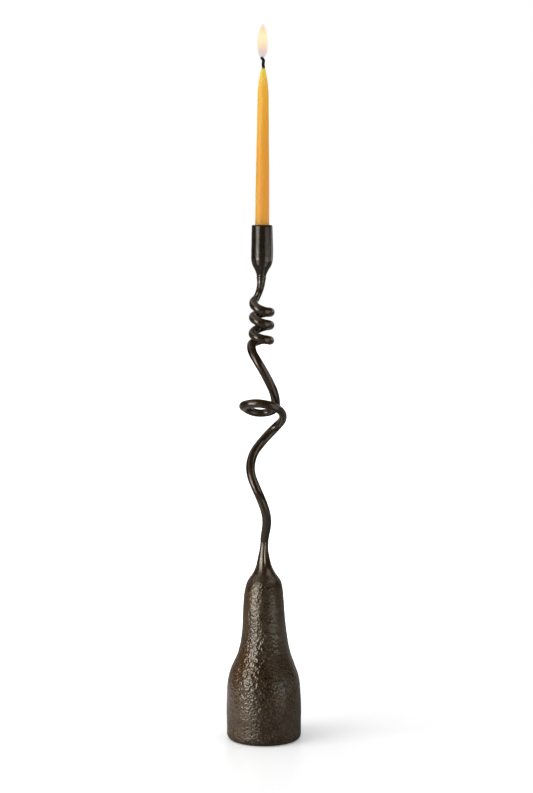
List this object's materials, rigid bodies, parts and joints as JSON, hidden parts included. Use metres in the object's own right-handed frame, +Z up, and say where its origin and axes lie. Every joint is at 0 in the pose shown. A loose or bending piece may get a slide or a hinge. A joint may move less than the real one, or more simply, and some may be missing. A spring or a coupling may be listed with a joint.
{
  "type": "candle holder",
  "caption": "Slender candle holder with a squash-shaped cast foot, a forged stem wound in an open loop and a tight coil, and a cup that seats a removable taper candle.",
  "frame": {"origin": "centre of the felt pad's underside, on the surface that the holder stands on", "axes": "+Z up along the foot's axis towards the candle, -Y towards the front that the picture shows, +X to the right in it"},
  "size_m": [0.0698, 0.0698, 0.6355],
  "materials": {
    "cast_skin": "rough cast skin with a dark bronze-brown patina, waxed",
    "forged_bar": "smooth forged bar with the same dark patina, satin",
    "turned_cup": "smooth turned cup with the same dark patina, satin",
    "fastener_steel": "plain steel fastenings",
    "felt": "dark brown felt",
    "wax": "honey-coloured dipped beeswax, softly translucent",
    "wick_cotton": "braided cotton, charred black where it has burnt"
  },
  "bodies": {
    "holder": {"squash_body": "cast_skin", "felt_pad": "felt", "tendril_stem": "forged_bar", "tie_stud": "fastener_steel", "stud_washer": "fastener_steel", "stud_nut": "fastener_steel", "candle_cup": "turned_cup", "cup_screw": "fastener_steel"},
    "taper": {"candle": "wax", "wick": "wick_cotton"}
  },
  "joints": [
    {"name": "candle_lift", "type": "slide", "parent": "holder", "child": "taper", "axis": [0, 0, 1], "range_m": [0, 0.035]}
  ]
}
